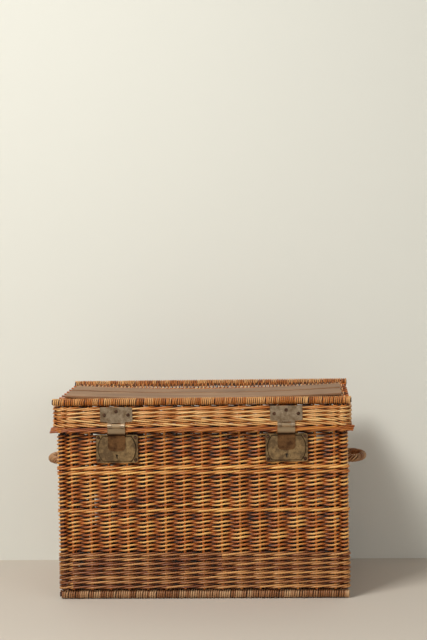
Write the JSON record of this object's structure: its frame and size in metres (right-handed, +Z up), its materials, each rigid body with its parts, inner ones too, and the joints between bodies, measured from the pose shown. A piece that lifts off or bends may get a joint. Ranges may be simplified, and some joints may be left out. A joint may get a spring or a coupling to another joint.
{
  "type": "woven wicker basket trunk",
  "caption": "Rectangular woven willow trunk with a hinged cap lid, lengthwise slats on top, hasp locks and rope-wrapped end handles.",
  "frame": {"origin": "middle of the object's box, on the floor it stands on", "axes": "+X along the length to the right seen from the front, +Y to the back where the lid is hinged, +Z up"},
  "size_m": [0.852, 0.4851, 0.52],
  "materials": {
    "wicker": "satin",
    "stake_willow": "satin",
    "slat_wood": "worn matte",
    "aged_brass": "aged, dull",
    "dark_steel": "dark, oiled"
  },
  "bodies": {
    "basket": {"base_weave": "wicker", "base_edge_stick_front": "stake_willow", "base_edge_stick_back": "stake_willow", "front_wall_weave": "wicker", "front_stakes_and_border": "stake_willow", "back_wall_weave": "wicker", "back_stakes_and_border": "stake_willow", "left_wall_weave": "wicker", "left_stakes_and_border": "stake_willow", "right_wall_weave": "wicker", "right_stakes_and_border": "stake_willow", "front_left_corner_post": "stake_willow", "front_right_corner_post": "stake_willow", "back_left_corner_post": "stake_willow", "back_right_corner_post": "stake_willow", "left_handle_core": "stake_willow", "left_handle_wrap": "wicker", "left_lock_plate": "aged_brass", "left_lock_back_plate": "dark_steel", "left_lock_rivet_plate": "aged_brass", "left_hinge_body_leaf": "aged_brass", "left_hinge_body_rivet_strap": "aged_brass", "left_hinge_pin": "dark_steel", "right_handle_core": "stake_willow", "right_handle_wrap": "wicker", "right_lock_plate": "aged_brass", "right_lock_back_plate": "dark_steel", "right_lock_rivet_plate": "aged_brass", "right_hinge_body_leaf": "aged_brass", "right_hinge_body_rivet_strap": "aged_brass", "right_hinge_pin": "dark_steel"},
    "lid": {"lid_top_weave": "wicker", "lid_edge_stick_front": "stake_willow", "lid_edge_stick_back": "stake_willow", "lid_slat_front": "slat_wood", "lid_slat_rear": "slat_wood", "lid_front_skirt_weave": "wicker", "lid_front_stakes_and_border": "stake_willow", "lid_back_skirt_weave": "wicker", "lid_back_stakes_and_border": "stake_willow", "lid_left_skirt_weave": "wicker", "lid_left_stakes_and_border": "stake_willow", "lid_right_skirt_weave": "wicker", "lid_right_stakes_and_border": "stake_willow", "left_hinge_lid_leaf": "aged_brass", "left_hinge_lid_rivet_strap": "aged_brass", "left_hasp_plate": "aged_brass", "left_hasp_rivet_strap": "aged_brass", "left_hasp_pin": "dark_steel", "right_hinge_lid_leaf": "aged_brass", "right_hinge_lid_rivet_strap": "aged_brass", "right_hasp_plate": "aged_brass", "right_hasp_rivet_strap": "aged_brass", "right_hasp_pin": "dark_steel"},
    "left_hasp": {"left_hasp_tongue": "aged_brass"},
    "left_key_cam": {"left_lock_key_cam": "dark_steel"},
    "left_bolt": {"left_lock_bolt": "dark_steel"},
    "right_hasp": {"right_hasp_tongue": "aged_brass"},
    "right_key_cam": {"right_lock_key_cam": "dark_steel"},
    "right_bolt": {"right_lock_bolt": "dark_steel"}
  },
  "joints": [
    {"name": "lid_hinge", "type": "hinge", "parent": "basket", "child": "lid", "pos_m": [0, 0.23705, 0.4237], "axis": [-1, 0, 0], "range_deg": [0, 100]},
    {"name": "left_hasp_hinge", "type": "hinge", "parent": "lid", "child": "left_hasp", "pos_m": [-0.216, -0.23705, 0.449], "axis": [-1, 0, 0], "range_deg": [0, 165]},
    {"name": "left_key_turn", "type": "hinge", "parent": "basket", "child": "left_key_cam", "pos_m": [-0.216, -0.22385, 0.3725], "axis": [0, 1, 0], "range_deg": [0, 90]},
    {"name": "left_bolt_slide", "type": "slide", "parent": "basket", "child": "left_bolt", "axis": [1, 0, 0], "range_m": [0, 0.00778]},
    {"name": "right_hasp_hinge", "type": "hinge", "parent": "lid", "child": "right_hasp", "pos_m": [0.216, -0.23705, 0.449], "axis": [-1, 0, 0], "range_deg": [0, 165]},
    {"name": "right_key_turn", "type": "hinge", "parent": "basket", "child": "right_key_cam", "pos_m": [0.216, -0.22385, 0.3725], "axis": [0, 1, 0], "range_deg": [0, 90]},
    {"name": "right_bolt_slide", "type": "slide", "parent": "basket", "child": "right_bolt", "axis": [1, 0, 0], "range_m": [0, 0.00778]}
  ],
  "couplings": [
    {"joint": "left_key_turn", "follows": "left_bolt_slide", "rad_per_m": 201.95},
    {"joint": "right_key_turn", "follows": "right_bolt_slide", "rad_per_m": 201.95}
  ]
}
